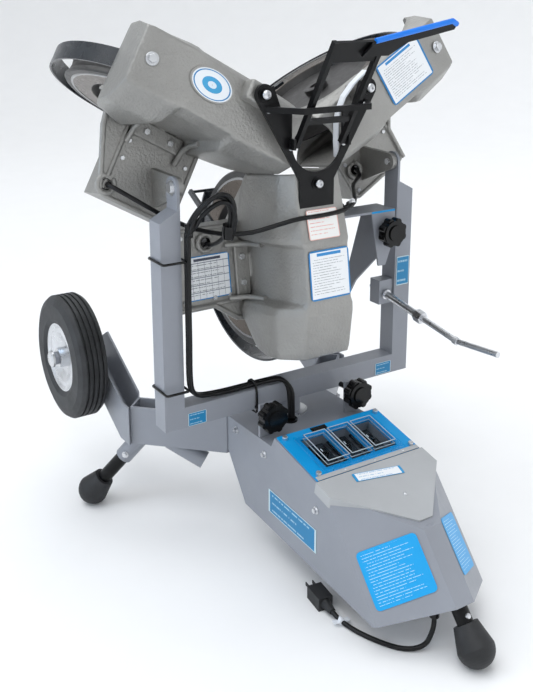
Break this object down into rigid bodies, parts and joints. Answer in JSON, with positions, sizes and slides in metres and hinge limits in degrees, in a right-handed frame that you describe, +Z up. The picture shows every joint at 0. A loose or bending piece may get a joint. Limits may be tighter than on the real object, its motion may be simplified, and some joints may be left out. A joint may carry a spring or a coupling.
{
  "type": "baseball pitching machine",
  "caption": "Baseball pitching machine: a tilting head with throwing wheels in a swivelling yoke, on a three-legged stand with a control box.",
  "frame": {"origin": "floor point under the yoke's swivel axis", "axes": "+Z up, +Y the throwing direction, +X along the yoke's crossbar to the operator's right"},
  "size_m": [0.7122, 1.01, 0.9471],
  "materials": {
    "frame_paint": "satin silver-grey powder coat",
    "lid_paint": "satin silver-grey powder coat",
    "cast_paint": "sandy silver-grey coat on castings",
    "black_paint": "black satin powder coat",
    "motor_black": "black enamel",
    "blue_panel": "satin blue",
    "clear_cover": "clear moulded plastic",
    "black_plastic": "gloss black",
    "white_plastic": "white",
    "zinc": "zinc plated",
    "tyre_rubber": "ribbed rubber",
    "wheel_rubber": "smooth dark tread on a steel disc",
    "foot_rubber": "moulded rubber",
    "cord_rubber": "smooth black jacket"
  },
  "bodies": {
    "base": {"box_shell": "frame_paint", "box_lid": "lid_paint", "console_plate": "blue_panel", "arm_left": "frame_paint", "arm_right": "frame_paint", "wheel_bracket_left": "frame_paint", "wheel_bracket_right": "frame_paint", "sockets_left": "frame_paint", "sockets_right": "frame_paint", "socket_rear": "frame_paint", "lock_plate_left": "frame_paint", "lock_plate_right": "frame_paint", "swivel_bearing": "zinc", "cable_grommet": "black_plastic", "stand_bolts": "zinc", "cord_gland": "black_plastic", "power_cord": "cord_rubber", "power_plug": "foot_rubber", "cord_tag": "white_plastic"},
    "cover": {"console_cover": "clear_cover"},
    "switch": {"power_switch": "black_plastic"},
    "stand_wheel_left": {"tyre_left": "tyre_rubber", "rim_left": "zinc"},
    "stand_wheel_right": {"tyre_right": "tyre_rubber", "rim_right": "zinc"},
    "leg_l": {"leg_left": "black_paint", "foot_left": "foot_rubber"},
    "leg_r": {"leg_right": "black_paint", "foot_right": "foot_rubber"},
    "leg_b": {"leg_rear": "black_paint", "foot_rear": "foot_rubber"},
    "yoke": {"yoke_frame": "frame_paint", "pivot_bolts": "zinc", "harness_yoke": "cord_rubber"},
    "head": {"casting_left": "cast_paint", "casting_right": "cast_paint", "casting_bottom": "cast_paint", "motor_left": "motor_black", "motor_right": "motor_black", "motor_bottom": "motor_black", "tray_left": "cast_paint", "tray_right": "cast_paint", "tray_bottom": "cast_paint", "guard_left": "black_paint", "guard_right": "black_paint", "guard_bottom": "black_paint", "feed_bracket": "black_paint", "ball_ramp": "white_plastic", "lift_lever": "frame_paint", "harness_head": "cord_rubber"},
    "throw_left": {"throw_wheel_left": "wheel_rubber"},
    "throw_right": {"throw_wheel_right": "wheel_rubber"},
    "throw_bottom": {"throw_wheel_bottom": "wheel_rubber"},
    "feed": {"feed_arm": "black_paint", "feed_blade": "blue_panel"},
    "lock_knob_left": {"knob_left": "black_plastic"},
    "lock_knob_right": {"knob_right": "black_plastic"},
    "lift_knob": {"knob_lift": "black_plastic"},
    "block": {"crank_block": "frame_paint"},
    "crank": {"crank_rod": "zinc"}
  },
  "joints": [
    {"name": "cover_hinge", "type": "hinge", "parent": "base", "child": "cover", "pos_m": [0, -0.23208, 0.22734], "axis": [1, 0, 0], "range_deg": [0, 100]},
    {"name": "switch_rocker", "type": "hinge", "parent": "base", "child": "switch", "pos_m": [-0.026, -0.13225, 0.24371], "axis": [1, 0, 0], "range_deg": [-8, 8]},
    {"name": "stand_wheel_left_spin", "type": "hinge", "parent": "base", "child": "stand_wheel_left", "pos_m": [-0.293, 0.35, 0.283], "axis": [1, 0, 0], "continuous": true},
    {"name": "stand_wheel_right_spin", "type": "hinge", "parent": "base", "child": "stand_wheel_right", "pos_m": [0.293, 0.35, 0.283], "axis": [1, 0, 0], "continuous": true},
    {"name": "leg_left_slide", "type": "slide", "parent": "base", "child": "leg_l", "axis": [-0.4545, 0.4545, -0.766], "range_m": [0, 0.06]},
    {"name": "leg_right_slide", "type": "slide", "parent": "base", "child": "leg_r", "axis": [0.4545, 0.4545, -0.766], "range_m": [0, 0.06]},
    {"name": "leg_rear_slide", "type": "slide", "parent": "base", "child": "leg_b", "axis": [0, -0.6428, -0.766], "range_m": [0, 0.06]},
    {"name": "yoke_swivel", "type": "hinge", "parent": "base", "child": "yoke", "pos_m": [0, 0, 0.226], "axis": [0, 0, 1], "range_deg": [-5, 5]},
    {"name": "head_tilt", "type": "hinge", "parent": "yoke", "child": "head", "pos_m": [0, 0, 0.68], "axis": [1, 0, 0], "range_deg": [-6, 30], "deforming": ["harness_head"]},
    {"name": "throw_left_spin", "type": "hinge", "parent": "head", "child": "throw_left", "pos_m": [-0.1758, 0.16201, 0.7981], "axis": [0.5, 0.1205, 0.8576], "continuous": true},
    {"name": "throw_right_spin", "type": "hinge", "parent": "head", "child": "throw_right", "pos_m": [0.1758, 0.16201, 0.7981], "axis": [0.5, -0.1205, -0.8576], "continuous": true},
    {"name": "throw_bottom_spin", "type": "hinge", "parent": "head", "child": "throw_bottom", "pos_m": [0, 0.11964, 0.49656], "axis": [-1, 0, 0], "continuous": true},
    {"name": "feed_swing", "type": "hinge", "parent": "head", "child": "feed", "pos_m": [-0.009, -0.099, 0.75], "axis": [1, 0, 0], "range_deg": [-30, 0]},
    {"name": "lock_left_turn", "type": "hinge", "parent": "base", "child": "lock_knob_left", "pos_m": [-0.094, -0.07, 0.268], "axis": [0, 1, 0], "continuous": true},
    {"name": "lock_right_turn", "type": "hinge", "parent": "base", "child": "lock_knob_right", "pos_m": [0.094, -0.07, 0.268], "axis": [0, 1, 0], "continuous": true},
    {"name": "lift_lock_turn", "type": "hinge", "parent": "head", "child": "lift_knob", "pos_m": [0.195, -0.035, 0.556], "axis": [0, 1, 0], "continuous": true},
    {"name": "block_swing", "type": "hinge", "parent": "yoke", "child": "block", "pos_m": [0.214, 0, 0.425], "axis": [1, 0, 0], "range_deg": [-2.4, 12]},
    {"name": "crank_turn", "type": "hinge", "parent": "block", "child": "crank", "pos_m": [0.214, 0, 0.425], "axis": [0, -0.9848, -0.1736], "continuous": true}
  ],
  "couplings": [
    {"joint": "block_swing", "follows": "head_tilt", "ratio": 0.4}
  ]
}
